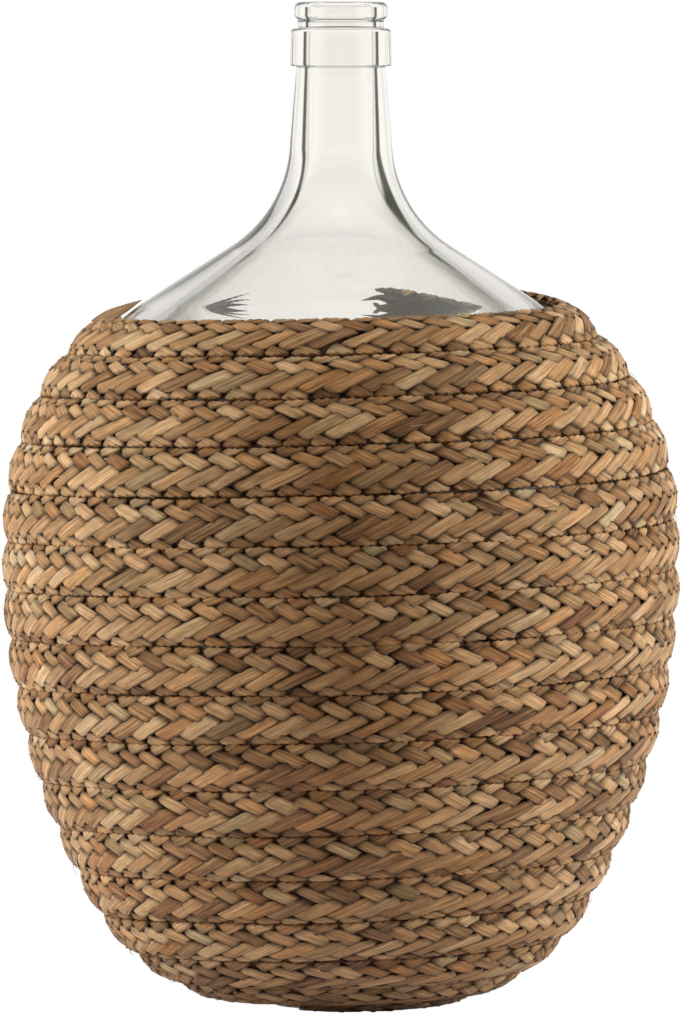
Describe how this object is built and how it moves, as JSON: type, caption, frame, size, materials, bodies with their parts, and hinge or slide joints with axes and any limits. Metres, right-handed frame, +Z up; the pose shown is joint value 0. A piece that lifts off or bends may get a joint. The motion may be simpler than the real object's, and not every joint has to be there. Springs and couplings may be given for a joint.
{
  "type": "covered bottle vase",
  "caption": "Clear glass demijohn vase with a narrow collared neck, its round body wrapped from heel to shoulder in a wound flat seagrass plait.",
  "frame": {"origin": "centre of the foot ring, on the surface that the vase stands on", "axes": "+Z up along the bottle's axis, -Y towards the viewer of the picture, +X to the viewer's right"},
  "size_m": [0.2916, 0.2916, 0.4326],
  "materials": {
    "clear_glass": "clear, smooth, glossy blown glass",
    "dried_seagrass": "dry matt plaited leaves, straw to brown",
    "hot_glue": "milky hot-melt glue"
  },
  "bodies": {
    "root": {"glass_bottle": "clear_glass", "seagrass_plait": "dried_seagrass", "glue_bead": "hot_glue"}
  },
  "joints": []
}
